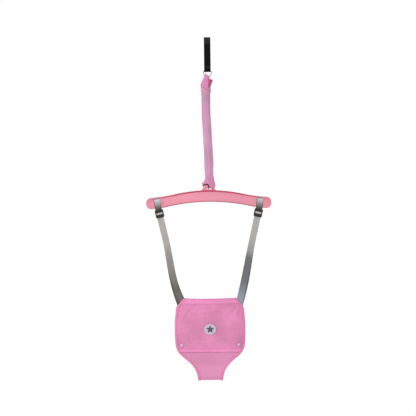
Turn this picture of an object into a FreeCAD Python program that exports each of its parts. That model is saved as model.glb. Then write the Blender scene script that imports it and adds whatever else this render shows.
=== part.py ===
"""Baby door jumper: door strap, ring, sleeved spring, spreader bar, webbing and fabric seat.

Millimetres. The origin is the centre of the hanging eye, +Z is up, +X is the right-hand end of the
bar and the front of the seat faces -Y. One STEP file per piece goes to parts/.
"""
import FreeCAD, Part
import math
import os

from FreeCAD import Vector

# Driving dimensions ---------------------------------------------------------------------------
WEB_W = 25.0              # width of all the webbing
WEB_T = 1.6               # thickness of the grey webbing
GAP = 0.3                 # air between pieces that move on each other

EYE_R = 6.0               # hanging eye at the top of the door strap
STRAP_T = 2.0             # thickness of one layer of the black webbing
SHOULDER = (7.4, -3.0)    # the layers close from here under the eye, in Y and Z
SHOULDER_END = -19.0      # and meet at this height
TAB_W = 22.0              # sewn end of the webbing
TAB_T = 1.0
RING_WIRE_R = 1.7
RING_R = 15.0             # centreline radius of the ring's bow
RING_BAR_Z = -121.1       # the ring's straight bar
RING_BOW_Z = -126.6       # centre of the bow's arc
TAB_TOP_Z = -144.3        # bands sewn round the bow hang from here

COIL_R = 11.4             # mean radius of the spring
COIL_WIRE_R = 1.6
COIL_TOP_Z = -184.0
COIL_LENGTH = 324.0
COIL_TURNS = 50
HOOK_WIRE_R = 1.75
TOP_HOOK_R = 6.0
BAND_W = 7.0              # the flat safety band inside the spring
BAND_T = 1.2
BAND_X = -2.0             # its left edge
BAND_BEND = 6.2           # radius of each of its waves
BAND_SWEEP = 1.45         # half the angle of each wave, in radians
BAND_WAVES = 24
BAND_TAB_X = 2.9          # its straight ends start here, clear of the hooks
SLEEVE_R = 17.0
SLEEVE_T = 1.2
SLEEVE_TOP_Z = -150.0
SLEEVE_END_Z = -560.0

BAR_HALF = 237.5          # half the bar's length
BAR_DEPTH = 22.0          # front to back
BAR_RIM = 4.0             # width of the rim round the front panel
BAR_RECESS = 2.5          # depth of the front panel behind the rim
BAR_WALL = 4.5            # wall of the bar, which is hollow at the back
BAR_RIBS = (-84, 0, 84)   # ribs across the hollow back, in X
BOSS_TOP_Z = -554.0       # the eye's bridge is a stadium 12 high and 10 deep
BOSS_DEPTH = 10.0
BRIDGE_H = 12.0
EYE_SLOT_H = 4.2          # opening under the bridge
EYE_SLOT = (-4.5, 11.5)   # its ends in X

NECK_X = 193.5            # the webbing crosses the bar here
NECK_Z = -623.0
NECK_LEAN = 7.0           # degrees that the webbing leans inwards on the bar
NECK_DEPTH = 12.0
NECK_TOP = 18.5           # from the neck's centre to the lower edge of the slot
NECK_BOTTOM = 17.0
SLOT_H = 2.4              # the slot above the neck, for one layer of webbing
SLOT_W = WEB_W + 2.4
FLEX_Z = -643.5           # the webbing bends here, where its two layers meet under the bar
FLEX_X = 191.6
BEND_R = 3.4              # the webbing below the bend starts this far from it

STRAND_LEAN = 12.7        # degrees that the webbing leans inwards below the bar
SPLIT = 150.0             # length below the bend over which the two layers stay together
STRAND_END = 380.0
SLIDER_W = 32.0
SLIDER_H = 30.0
SLIDER_BELOW = 19.0       # centre of the slider below the bend
SLIDER_T = 2.8            # thickness of the slider's bars

SEAT_TOP_Z = -984.6
SEAT_END_Z = -1295.7
SEAT_HALF = 134.3         # half the seat's greatest width
SEAT_R = 22.0             # half the depth of the seat, and the radius of its sides and fold
PANEL_T = 3.0
BIB_END_Z = -1180.0
BINDING_W = 7.0
HEM_T = 1.2
TOP_HEM_H = 19.0
LOWER_HEM_H = 16.0
BADGE_Z = -1101.0
SNAP = (108.0, -1160.0)   # snap caps in X and Z
SNAP_R = 6.0


# Helpers --------------------------------------------------------------------------------------
def arc(a, b, c):
    """Arc in the XZ plane from a to c through b, each (x, z)."""
    return Part.Arc(*[Vector(x, 0, z) for x, z in (a, b, c)]).toShape()


def line(a, b):
    """Line in the XZ plane."""
    return Part.makeLine(Vector(a[0], 0, a[1]), Vector(b[0], 0, b[1]))


def prism(edges, depth):
    """Outline in the XZ plane, extruded the same way both sides of Y = 0."""
    face = Part.Face(Part.Wire(Part.__sortEdges__(edges)))
    face.translate(Vector(0, -depth / 2, 0))
    return face.extrude(Vector(0, depth, 0))


def box(x0, x1, y0, y1, z0, z1):
    return Part.makeBox(x1 - x0, y1 - y0, z1 - z0, Vector(x0, y0, z0))


def x_cylinder(radius, x0, x1, y, z):
    return Part.makeCylinder(radius, x1 - x0, Vector(x0, y, z), Vector(1, 0, 0))


def y_cylinder(radius, y0, y1, x, z):
    return Part.makeCylinder(radius, y1 - y0, Vector(x, y0, z), Vector(0, 1, 0))


def x_prism(points, x0, x1):
    """Polygon of (y, z) points, extruded along X."""
    corners = [Vector(x0, y, z) for y, z in points]
    return Part.Face(Part.makePolygon(corners + corners[:1])).extrude(Vector(x1 - x0, 0, 0))


def stadium(x0, x1, radius, low, high):
    """Bar along X whose section is a stadium: 2 * radius deep, from low to high."""
    middle = box(x0, x1, -radius, radius, low + radius, high - radius)
    ends = [x_cylinder(radius, x0, x1, 0, z) for z in (low + radius, high - radius)]
    return middle.multiFuse(ends).removeSplitter()


def mirrored(shape):
    return shape.mirror(Vector(0, 0, 0), Vector(1, 0, 0))


def leaned(shape, degrees, x, z):
    """The shape, made about the origin, leaned inwards and put on the right-hand side."""
    moved = shape.copy()
    moved.rotate(Vector(0, 0, 0), Vector(0, 1, 0), degrees)
    moved.translate(Vector(x, 0, z))
    return moved


def biggest(shape):
    return max(shape.Solids, key=lambda s: s.Volume)


def wire_solid(points, bends, radius):
    """Round wire along straight runs joined by tangent arcs, one bend radius per inner point."""
    points = [Vector(*p) for p in points]
    edges, start = [], points[0]
    for before, corner, after, bend in zip(points, points[1:], points[2:], bends):
        back, ahead = (before - corner).normalize(), (after - corner).normalize()
        half = back.getAngle(ahead) / 2
        reach = bend / math.tan(half)
        middle = corner + (back + ahead).normalize() * (bend / math.sin(half) - bend)
        first, last = corner + back * reach, corner + ahead * reach
        if start.distanceToPoint(first) > 1e-6:
            edges.append(Part.makeLine(start, first))
        edges.append(Part.Arc(first, middle, last).toShape())
        start = last
    if start.distanceToPoint(points[-1]) > 1e-6:
        edges.append(Part.makeLine(start, points[-1]))
    section = Part.Wire(Part.makeCircle(radius, points[0], points[1] - points[0]))
    sweep = Part.BRepOffsetAPI.MakePipeShell(Part.Wire(edges))
    sweep.add(section)
    sweep.build()
    sweep.makeSolid()
    return sweep.shape()


# Door strap and ring --------------------------------------------------------------------------
def door_strap():
    loop_in = RING_WIRE_R + GAP
    outer_top, outer_low = EYE_R + STRAP_T, loop_in + STRAP_T
    half = WEB_W / 2
    layers = box(-half, half, -STRAP_T, STRAP_T, RING_BAR_Z, 0)
    y, z = SHOULDER
    shoulders = x_prism([(-y, z), (y, z), (STRAP_T, SHOULDER_END), (-STRAP_T, SHOULDER_END)],
                        -half, half)
    chin = x_prism([(-4.0, RING_BAR_Z + 1.5), (4.0, RING_BAR_Z + 1.5),
                    (STRAP_T, RING_BAR_Z + 11), (-STRAP_T, RING_BAR_Z + 11)], -half, half)
    body = layers.multiFuse([shoulders, chin, x_cylinder(outer_top, -half, half, 0, 0),
                             x_cylinder(outer_low, -half, half, 0, RING_BAR_Z)])
    for radius, z in ((EYE_R, 0), (loop_in, RING_BAR_Z)):
        body = body.cut(x_cylinder(radius, -half - 1, half + 1, 0, z))
    return body.removeSplitter()


def strap_tab():
    """Sewn end of the black webbing, a third layer on the slope under the eye."""
    slope = Vector(0, SHOULDER[0] - STRAP_T, SHOULDER_END - SHOULDER[1]).normalize()
    out = Vector(0, slope.z, -slope.y)
    corner = Vector(0, -SHOULDER[0], SHOULDER[1])
    upper, lower = corner + slope * 1.5, corner + slope * 16
    around = [upper, lower, lower + out * TAB_T, upper + out * TAB_T]
    return x_prism([(p.y, p.z) for p in around], -TAB_W / 2, TAB_W / 2)


def d_ring():
    low = RING_BOW_Z - RING_R
    side = RING_R
    points = [(0, 0, RING_BAR_Z), (side, 0, RING_BAR_Z), (side, 0, low), (-side, 0, low),
              (-side, 0, RING_BAR_Z), (0, 0, RING_BAR_Z)]
    return wire_solid(points, (2.5, RING_R, RING_R, 2.5), RING_WIRE_R)


# Spring, hooks, safety strap and sleeve -------------------------------------------------------
def spring_top_hook():
    top = RING_BOW_Z - RING_R + RING_WIRE_R + GAP + HOOK_WIRE_R
    r = TOP_HOOK_R
    points = [(0, r, top - 11), (0, r, top), (0, -r, top), (0, -r, top - 13), (0, 0, top - 24),
              (0, 0, COIL_TOP_Z + 6), (-COIL_R, 0, COIL_TOP_Z + 4)]
    return wire_solid(points, (r - 0.01, r - 0.01, 6, 6, 4), HOOK_WIRE_R)


def spring_coil():
    """One turn of the helix, repeated, with both wire ends on the left."""
    pitch = COIL_LENGTH / COIL_TURNS
    helix = Part.makeLongHelix(pitch, pitch, COIL_R)
    rise = pitch / (2 * math.pi * COIL_R)
    section = Part.Wire(Part.makeCircle(COIL_WIRE_R, Vector(COIL_R, 0, 0), Vector(0, 1, rise)))
    sweep = Part.BRepOffsetAPI.MakePipeShell(Part.Wire(helix.Edges))
    sweep.setFrenetMode(True)
    sweep.add(section)
    sweep.build()
    sweep.makeSolid()
    turn = sweep.shape()
    turn.rotate(Vector(0, 0, 0), Vector(0, 0, 1), 180)
    turns = [turn.translated(Vector(0, 0, COIL_TOP_Z - (k + 1) * pitch)) for k in range(COIL_TURNS)]
    return turns[0].multiFuse(turns[1:])


def spring_bottom_hook():
    eye_z = BOSS_TOP_Z - BRIDGE_H + BOSS_DEPTH / 2
    r = BOSS_DEPTH / 2 + GAP + HOOK_WIRE_R
    low = eye_z - r
    coil_end = COIL_TOP_Z - COIL_LENGTH
    points = [(-COIL_R, 0, coil_end - 4), (0, 0, coil_end - 6), (0, 0, coil_end - 20),
              (-11, -r, coil_end - 35), (0, -r, eye_z + 3), (0, -r, low), (0, r, low),
              (0, r, eye_z + 7)]
    return wire_solid(points, (4, 8, 8, 4, r - 0.01, r - 0.01), HOOK_WIRE_R)


def ring_loop(angle, width, thickness):
    """Band sewn round the ring's bow, angle degrees round from its lowest point."""
    inner = RING_WIRE_R + 2 * GAP + 0.2
    z = RING_BOW_Z - RING_R
    half = width / 2
    loop = x_cylinder(inner + thickness, -half, half, 0, z)
    loop = loop.cut(x_cylinder(inner, -half - 1, half + 1, 0, z))
    loop.rotate(Vector(0, 0, RING_BOW_Z), Vector(0, 1, 0), angle)
    return loop


def safety_strap():
    """Flat band inside the coil, laid in waves so that it is half as long again as the coil."""
    step = 2 * BAND_BEND * math.sin(BAND_SWEEP)
    drop = BAND_BEND * math.cos(BAND_SWEEP)
    x0, x1 = BAND_X, BAND_X + BAND_W
    half = BAND_T / 2
    far = 3 * BAND_BEND
    reach = far / math.tan(BAND_SWEEP)
    top = COIL_TOP_Z - 8
    low = top - step * BAND_WAVES
    pieces = []
    for k in range(BAND_WAVES):
        side = 1 if k % 2 else -1
        y, z = -side * drop, top - step * (k + 0.5)
        ring = x_cylinder(BAND_BEND + half, x0, x1, y, z)
        ring = ring.cut(x_cylinder(BAND_BEND - half, x0 - 1, x1 + 1, y, z))
        wedge = x_prism([(y, z), (y + side * reach, z + far), (y + side * far, z + far),
                         (y + side * far, z - far), (y + side * reach, z - far)], x0, x1)
        pieces.append(ring.common(wedge))
    ring_band = ring_loop(-26, BAND_W, BAND_T).cut(box(-20, 2.4, -20, 20, -160, -100))
    pieces += [
        ring_band,
        box(BAND_TAB_X, 8.5, -half, half, top - 1.5, TAB_TOP_Z),
        box(BAND_TAB_X, x1, -half, half, top - 2.0, top + 2.0),
        box(BAND_TAB_X, x1, -half, half, BOSS_TOP_Z + GAP + half, low + 1.5),
        bridge_band(BAND_TAB_X - 0.1, BAND_TAB_X - 0.1 + BAND_W),
    ]
    return biggest(pieces[0].multiFuse(pieces[1:]))


def bridge_band(x0, x1):
    """The safety band's lower end, sewn round the bridge of the bar's eye."""
    inner = BOSS_DEPTH / 2 + GAP
    low, high = BOSS_TOP_Z - BRIDGE_H - GAP, BOSS_TOP_Z + GAP
    band = stadium(x0, x1, inner + BAND_T, low - BAND_T, high + BAND_T)
    return band.cut(stadium(x0 - 2, x1 + 2, inner, low, high))


def spring_sleeve():
    """Fabric tube with a drawn-in neck at the top and a flared mouth."""
    profile = [(12.5, SLEEVE_TOP_Z), (20, -176), (SLEEVE_R, -200), (SLEEVE_R, -528), (20, -545),
               (27, SLEEVE_END_Z)]
    outer = [Vector(r, 0, z) for r, z in profile]
    inner = [Vector(r - SLEEVE_T, 0, z) for r, z in reversed(profile)]
    return Part.Face(Part.makePolygon(outer + inner + outer[:1])).revolve(
        Vector(0, 0, 0), Vector(0, 0, 1), 360)


def sleeve_hanging_tab():
    """Narrow tail of the sleeve, sewn round the ring's bow beside the hook."""
    neck = box(-9.0, -3.2, -0.6, 0.6, SLEEVE_TOP_Z - 3, TAB_TOP_Z)
    flare = box(-12.2, -9.0, -0.6, 0.6, SLEEVE_TOP_Z - 3, SLEEVE_TOP_Z + 4)
    trimmed = ring_loop(26, 7.0, 1.2).cut(box(-2.4, 20, -20, 20, -160, -100))
    return biggest(neck.multiFuse([flare, trimmed]).cut(spring_sleeve()))


# Spreader bar ---------------------------------------------------------------------------------
def bar_outline():
    top = [arc((-137, -589.9), (0, -573.8), (137, -589.9))]
    bottom = [arc((-160, -635.9), (0, -617.7), (160, -635.9))]
    for s in (-1, 1):
        top += [arc((s * 137, -589.9), (s * 180, -597.2), (s * 221, -601.4)),
                arc((s * 221, -601.4), (s * 233.5, -608.5), (s * BAR_HALF, -622))]
        bottom += [arc((s * 160, -635.9), (s * 190, -641.3), (s * 216, -643.7)),
                   arc((s * 216, -643.7), (s * 232, -638), (s * BAR_HALF, -622))]
    return top + bottom


def inset_outline(inset):
    """The bar's outline drawn in by inset, as a face in the XZ plane."""
    wire = Part.Wire(Part.__sortEdges__(bar_outline()))
    return Part.Face(wire.makeOffset2D(-inset))


def bar_pocket(inset, half_length, y0, y1):
    """Cutter inside the bar's outline, with rounded ends."""
    face = inset_outline(inset)
    face.translate(Vector(0, y0, 0))
    slab = face.extrude(Vector(0, y1 - y0, 0))
    limit = box(-half_length, half_length, y0, y1, -700, -560)
    upright = [e for e in limit.Edges
               if abs(e.Vertexes[0].Point.x - e.Vertexes[1].Point.x) < 1e-6
               and abs(e.Vertexes[0].Point.z - e.Vertexes[1].Point.z) < 1e-6]
    return slab.common(limit.makeFillet(12, upright))


def boss():
    edges = [arc((31, -576), (24, -569.5), (21, -561)), arc((21, -561), (17.5, -556.2), (10, -554)),
             line((10, -554), (-10, -554)), arc((-10, -554), (-17.5, -556.2), (-21, -561)),
             arc((-21, -561), (-24, -569.5), (-31, -576)), line((-31, -576), (31, -576))]
    body = prism(edges, BOSS_DEPTH)
    low = BOSS_TOP_Z - BRIDGE_H
    around = box(EYE_SLOT[0], EYE_SLOT[1], -20, 20, low - EYE_SLOT_H, BOSS_TOP_Z + 5)
    bridge = stadium(EYE_SLOT[0] - 1, EYE_SLOT[1] + 1, BOSS_DEPTH / 2, low, BOSS_TOP_Z)
    return body.cut(around.cut(bridge))


def neck_cutters():
    """What is cut from the right-hand end so that the webbing can pass over a rounded neck."""
    half = SLOT_W / 2
    window = box(-half, half, -20, 20, -60, NECK_TOP + SLOT_H)
    neck = stadium(-half - 1, half + 1, NECK_DEPTH / 2, -NECK_BOTTOM, NECK_TOP)
    return leaned(window.cut(neck), NECK_LEAN, NECK_X, NECK_Z)


def spreader_bar():
    outline = bar_outline()
    bar = prism(outline, BAR_DEPTH)
    rim_edges = [e for e in bar.Edges
                 if abs(e.Vertexes[0].Point.y - e.Vertexes[-1].Point.y) < 1e-6]
    bar = bar.makeFillet(2.0, rim_edges)
    half = BAR_DEPTH / 2
    bar = bar.cut(bar_pocket(BAR_RIM, 175, -half - 1, -half + BAR_RECESS))
    hollow = bar_pocket(BAR_WALL, 168, -half + BAR_RECESS + BAR_WALL, half + 1)
    for x in BAR_RIBS:
        hollow = hollow.cut(box(x - 1.25, x + 1.25, -20, half - 1.5, -700, -560))
    bar = bar.cut(hollow).fuse(boss())
    cutter = neck_cutters()
    bar = bar.cut(cutter).cut(mirrored(cutter))
    return biggest(bar).removeSplitter()


# Webbing and sliders --------------------------------------------------------------------------
def flex_point():
    """Where the two layers meet, in the frame of the right-hand neck."""
    dx, dz = FLEX_X - NECK_X, FLEX_Z - NECK_Z
    a = math.radians(NECK_LEAN)
    return dx * math.sin(a) + dz * math.cos(a)


def bar_loop():
    """Webbing over the neck, closing to a rounded nose where the two layers meet."""
    half = WEB_W / 2
    inner_r = NECK_DEPTH / 2 + GAP
    outer_r = inner_r + WEB_T
    outer = stadium(-half, half, outer_r, -NECK_BOTTOM - GAP - WEB_T, NECK_TOP + GAP + WEB_T)
    inner = stadium(-half - 1, half + 1, inner_r, -NECK_BOTTOM - GAP, NECK_TOP + GAP)
    nose_z = flex_point()
    low_z = -NECK_BOTTOM + NECK_DEPTH / 2
    reach = low_z - nose_z
    lean = math.asin((outer_r - WEB_T) / reach)
    touch_y, touch_z = outer_r * math.cos(lean), low_z - outer_r * math.sin(lean)
    chin = x_prism([(-touch_y, touch_z), (touch_y, touch_z), (WEB_T, nose_z), (-WEB_T, nose_z)],
                   -half, half)
    nose = x_cylinder(WEB_T, -half, half, 0, nose_z)
    loop = outer.multiFuse([chin, nose]).cut(inner)
    return leaned(biggest(loop.removeSplitter()), NECK_LEAN, NECK_X, NECK_Z)


def strand_frame(shape):
    return leaned(shape, STRAND_LEAN, FLEX_X, FLEX_Z)


def seat_trim():
    """Everything that the seat's outline covers, used to end the webbing on its corners."""
    return prism(seat_outline(0), 200)


def strand(side):
    """One layer of the right-hand webbing: side -1 is the front layer and 1 the back one."""
    top_y = side * WEB_T / 2
    seat_y = side * (SEAT_R - PANEL_T / 2)
    along = (SEAT_TOP_Z - FLEX_Z) / math.cos(math.radians(STRAND_LEAN))
    slope = (seat_y - top_y) / (-along - SPLIT)
    end_y = top_y + slope * (STRAND_END - SPLIT)
    half_t = WEB_T / 2 * 0.98
    points = [(top_y - half_t, 0), (top_y + half_t, 0), (top_y + half_t, -SPLIT),
              (end_y + half_t, -STRAND_END), (end_y - half_t, -STRAND_END),
              (top_y - half_t, -SPLIT)]
    half = WEB_W / 2
    above_bend = box(0, 300, -50, 50, FLEX_Z - BEND_R, 0)
    return biggest(strand_frame(x_prism(points, -half, half)).cut(seat_trim()).cut(above_bend))


def slider():
    """Tri-glide: two bars in front of the webbing, one behind, and side rails."""
    w, h = SLIDER_W / 2, SLIDER_H / 2
    clear = WEB_T + GAP
    deep = clear + SLIDER_T
    body = box(-w, w, -deep, deep, -h, h)
    rounded = [e for e in body.Edges if abs(e.Vertexes[0].Point.y - e.Vertexes[1].Point.y) > 1
               and e.Vertexes[0].Point.z < 0]
    body = body.makeFillet(5, rounded)
    inner = WEB_W / 2 + 2 * GAP
    channel = box(-inner, inner, -clear, clear, -h - 1, h + 1)
    window = box(-inner, inner, -deep - 1, 0, -2.5, 5.0)
    above = box(-inner, inner, 0, deep + 1, 6.0, h + 1)
    below = box(-inner, inner, 0, deep + 1, -h - 1, -3.5)
    body = body.cut(channel).cut(window).cut(above).cut(below)
    body.translate(Vector(0, 0, -SLIDER_BELOW))
    return strand_frame(body)


# Seat -----------------------------------------------------------------------------------------
def seat_outline(inset):
    """Front outline of the seat; inset draws the side and leg edges in."""
    edges = []
    for s in (-1, 1):
        def at(x, z):
            return (s * (x - inset), z)
        edges += [line(at(101.6, SEAT_TOP_Z), at(127.5, -1017.6)),
                  arc(at(127.5, -1017.6), at(SEAT_HALF, -1087), at(130, -1170)),
                  arc(at(130, -1170), at(121.5, -1188), at(104, -1205.5)),
                  arc(at(104, -1205.5), at(62, -1245), at(46.2, SEAT_END_Z - 1)),
                  line(at(46.2, SEAT_END_Z - 1), (0, SEAT_END_Z - 1)),
                  line(at(101.6, SEAT_TOP_Z), (0, SEAT_TOP_Z))]
    return edges


def bag(radius, half_width):
    """Solid bag: stadium in plan, straight sides, and a rounded fold at the bottom."""
    plan = box(-half_width + radius, half_width - radius, -radius, radius, SEAT_END_Z - 30, SEAT_TOP_Z)
    ends = [Part.makeCylinder(radius, SEAT_TOP_Z - SEAT_END_Z + 30,
                              Vector(s * (half_width - radius), 0, SEAT_END_Z - 30)) for s in (-1, 1)]
    plan = plan.multiFuse(ends)
    fold_z = SEAT_END_Z + SEAT_R
    side = x_cylinder(radius, -200, 200, 0, fold_z).fuse(
        box(-200, 200, -radius, radius, fold_z, SEAT_TOP_Z))
    return plan.common(side)


def seat_pieces():
    shell = bag(SEAT_R, SEAT_HALF).cut(bag(SEAT_R - PANEL_T, SEAT_HALF - PANEL_T))
    shell = shell.common(prism(seat_outline(0), 200))
    core = prism(seat_outline(BINDING_W), 200)
    wide, low, high = 200, -1400, -900
    front = box(-wide, wide, -wide, 0, BIB_END_Z, high)
    back = box(-wide, wide, 0, wide, BIB_END_Z, high)
    under = box(-wide, wide, -wide, wide, low, BIB_END_Z)
    above = box(-wide, wide, -wide, wide, BIB_END_Z, high)
    middle = shell.common(core)
    edge = shell.cut(core)
    corner = box(-wide, wide, -wide, wide, -1017.6, high)
    right = box(0, wide, -wide, wide, low, high)
    binding = edge.common(above).cut(corner).common(right)
    leg = edge.common(under).common(right)
    pieces = {
        "front_panel": biggest(middle.common(front).fuse(
            edge.common(corner).common(front)).removeSplitter()),
        "back_panel": biggest(middle.common(back).fuse(
            edge.common(corner).common(back)).removeSplitter()),
        "crotch_panel": biggest(middle.common(under)),
        "right_side_binding": biggest(binding),
        "right_leg_binding": biggest(leg),
    }
    pieces["left_side_binding"] = mirrored(pieces["right_side_binding"])
    pieces["left_leg_binding"] = mirrored(pieces["right_leg_binding"])
    flat = SEAT_HALF - SEAT_R
    for name, side in (("front", -1), ("back", 1)):
        y0, y1 = sorted((side * SEAT_R, side * (SEAT_R + HEM_T)))
        band = box(-flat, flat, y0, y1, SEAT_TOP_Z - TOP_HEM_H, SEAT_TOP_Z)
        pieces[name + "_top_hem"] = biggest(band.common(prism(seat_outline(0), 200)))
    pieces["front_lower_hem"] = box(-flat, flat, -SEAT_R - HEM_T, -SEAT_R, BIB_END_Z - LOWER_HEM_H / 2,
                                    BIB_END_Z + LOWER_HEM_H / 2)
    return pieces


def badge():
    """Oval patch sewn on the front panel."""
    patch = y_cylinder(21, -SEAT_R - 1.0, -SEAT_R, 0, 0)
    stretch = FreeCAD.Matrix()
    stretch.scale(24.0 / 21.0, 1, 1)
    patch = patch.transformGeometry(stretch)
    patch.translate(Vector(0, 0, BADGE_Z))
    return patch


def snap_cap():
    """Domed cap on the outside of the front panel."""
    ball_r = 9.0
    dome = Part.makeSphere(ball_r, Vector(SNAP[0], -SEAT_R - 2.2 + ball_r, SNAP[1]))
    return dome.common(y_cylinder(SNAP_R, -SEAT_R - 4, -SEAT_R, *SNAP))


def snap_socket():
    ring = y_cylinder(5.5, -SEAT_R + PANEL_T, -SEAT_R + PANEL_T + 2, *SNAP)
    return ring.cut(y_cylinder(2.0, -SEAT_R, -SEAT_R + PANEL_T + 3, *SNAP))


# All the pieces -------------------------------------------------------------------------------
def all_pieces():
    pieces = {
        "door_strap": door_strap(),
        "strap_tab": strap_tab(),
        "d_ring": d_ring(),
        "spring_top_hook": spring_top_hook(),
        "spring_coil": spring_coil(),
        "spring_bottom_hook": spring_bottom_hook(),
        "safety_strap": safety_strap(),
        "spring_sleeve": spring_sleeve(),
        "sleeve_hanging_tab": sleeve_hanging_tab(),
        "spreader_bar": spreader_bar(),
        "badge_patch": badge(),
    }
    pieces.update(seat_pieces())
    paired = {"bar_loop": bar_loop(), "front_webbing": strand(-1), "back_webbing": strand(1),
              "slider": slider(), "snap_cap": snap_cap(), "snap_socket": snap_socket()}
    for name, shape in paired.items():
        pieces["right_" + name] = shape
        pieces["left_" + name] = mirrored(shape)
    return pieces


os.makedirs("parts", exist_ok=True)
for node, shape in all_pieces().items():
    solids = shape.Solids
    print(f"{node:22s} solids {len(solids)} valid {shape.isValid()} volume {shape.Volume:10.1f}")
    (solids[0] if len(solids) == 1 else shape).exportStep(f"parts/{node}.step")
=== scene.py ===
"""Looks of the baby door jumper: webbing, sleeve, seat, stitching and materials round the CAD frame."""
import math

import bpy
import numpy as np
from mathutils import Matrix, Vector, noise


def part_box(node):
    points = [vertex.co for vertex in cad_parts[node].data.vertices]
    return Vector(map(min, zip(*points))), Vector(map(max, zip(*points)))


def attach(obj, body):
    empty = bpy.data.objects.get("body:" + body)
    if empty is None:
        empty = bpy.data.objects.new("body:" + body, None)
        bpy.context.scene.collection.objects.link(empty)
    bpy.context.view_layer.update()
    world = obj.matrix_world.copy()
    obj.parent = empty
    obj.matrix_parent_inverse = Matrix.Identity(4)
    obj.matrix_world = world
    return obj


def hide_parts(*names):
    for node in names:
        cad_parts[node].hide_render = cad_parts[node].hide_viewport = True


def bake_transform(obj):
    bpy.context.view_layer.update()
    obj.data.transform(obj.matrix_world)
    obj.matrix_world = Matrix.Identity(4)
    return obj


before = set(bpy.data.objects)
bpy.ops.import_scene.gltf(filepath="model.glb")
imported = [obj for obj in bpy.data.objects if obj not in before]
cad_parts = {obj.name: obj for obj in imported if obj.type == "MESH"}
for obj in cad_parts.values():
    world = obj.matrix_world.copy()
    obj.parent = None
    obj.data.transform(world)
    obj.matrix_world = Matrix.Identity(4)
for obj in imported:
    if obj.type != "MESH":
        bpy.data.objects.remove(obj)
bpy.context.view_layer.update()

MM = 0.001
SIDES = {"left": -1, "right": 1}


# Camera, light and floor ----
LENS = 120.0           # mm
SENSOR = 36.0          # mm
FRAME_WIDTH = 1.581    # metres across the picture at the object
AIM = Vector((-0.0032, 0.0, -0.6414))
ROLL = math.radians(0.6)  # the jumper hangs a little out of plumb in the picture


def area_light(name, place, target, size, power):
    light = bpy.data.lights.new(name, "AREA")
    light.shape, light.size, light.energy = "DISK", size, power
    obj = bpy.data.objects.new(name, light)
    obj.location = place
    obj.rotation_euler = (Vector(target) - Vector(place)).to_track_quat("-Z", "Y").to_euler()
    bpy.context.collection.objects.link(obj)


def stage():
    cam = bpy.data.objects.new("camera", bpy.data.cameras.new("camera"))
    cam.data.lens = LENS
    cam.data.clip_end = 50
    cam.location = AIM - Vector((0, FRAME_WIDTH * LENS / SENSOR, 0))
    cam.rotation_euler = (math.pi / 2, ROLL, 0)
    bpy.context.collection.objects.link(cam)
    bpy.context.scene.camera = cam
    bpy.context.scene.view_settings.view_transform = "Standard"
    world = bpy.data.worlds.new("studio")
    world.use_nodes = True
    glow = world.node_tree.nodes["Background"].inputs
    glow["Color"].default_value = (1, 1, 1, 1)
    glow["Strength"].default_value = 1.0
    bpy.context.scene.world = world
    area_light("key", (-1.9, -2.4, 1.0), (0, 0, -0.7), 0.8, 52)
    area_light("rim", (1.9, 1.4, 0.4), (0, 0, -0.8), 0.9, 20)
    bpy.ops.mesh.primitive_plane_add(size=2.4, location=(0, 0, -1.68))
    floor = bpy.context.object
    floor.name = "floor"
    floor.data.materials.append(plain("floor_paint", (236, 236, 234), 0.7))


# Materials ----
def linear(rgb):
    """8-bit display colour to the linear RGBA that a shader takes."""
    out = [c / 255 / 12.92 if c <= 10 else ((c / 255 + 0.055) / 1.055) ** 2.4 for c in rgb]
    return (*out, 1.0)


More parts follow.
